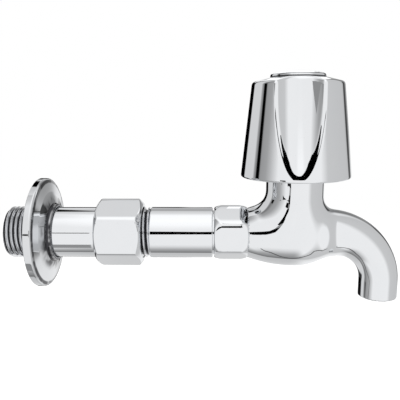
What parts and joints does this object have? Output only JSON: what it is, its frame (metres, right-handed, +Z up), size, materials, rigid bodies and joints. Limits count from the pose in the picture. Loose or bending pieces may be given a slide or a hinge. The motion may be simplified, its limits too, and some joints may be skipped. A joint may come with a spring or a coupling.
{
  "type": "wall bib tap",
  "caption": "Long wall-mounted bib tap on an extension piece: threaded inlet, cover flange, curved spout and a scooped screw-down handle.",
  "frame": {"origin": "on the axis of the wall thread, in the plane of the wall's finished face", "axes": "+X out of the wall along the tube, +Z up along the spindle, the spout points to +X and its mouth down"},
  "size_m": [0.159, 0.0444, 0.0908],
  "materials": {
    "chrome_turned": "bright chrome on turned brass",
    "chrome_cast": "bright chrome on a polished casting",
    "chrome_pressed": "bright chrome on pressed sheet",
    "chrome_handle": "bright chrome on a moulded handle",
    "chrome_button": "bright chrome button",
    "brass": "machined brass",
    "rubber": "black rubber",
    "fibre": "red fibre washer",
    "packing": "greased packing yarn",
    "bush": "white moulded bush",
    "steel": "plain steel"
  },
  "bodies": {
    "root": {"extension_nipple": "chrome_turned", "socket_washer": "fibre", "tap_body": "chrome_cast", "bonnet": "brass", "bonnet_washer": "fibre", "slip_washer": "brass", "gland_packing": "packing", "gland_nut": "brass"},
    "flange": {"wall_flange": "chrome_pressed"},
    "valve": {"jumper": "brass", "seat_washer": "rubber", "washer_retainer": "brass", "washer_nut": "brass"},
    "handle": {"spindle": "brass", "handle": "chrome_handle", "handle_insert": "bush", "screw_washer": "steel", "handle_screw": "steel", "handle_cap": "chrome_button"}
  },
  "joints": [
    {"name": "flange_slide", "type": "slide", "parent": "root", "child": "flange", "axis": [1, 0, 0], "range_m": [-0.0011, 0.0154]},
    {"name": "valve_lift", "type": "slide", "parent": "root", "child": "valve", "axis": [0, 0, 1], "range_m": [0, 0.0045]},
    {"name": "handle_turn", "type": "hinge", "parent": "valve", "child": "handle", "pos_m": [0.1048, 0, 0], "axis": [0, 0, 1], "range_deg": [0, 540]}
  ],
  "couplings": [
    {"joint": "valve_lift", "follows": "handle_turn", "m_per_rad": 0.00047746}
  ]
}
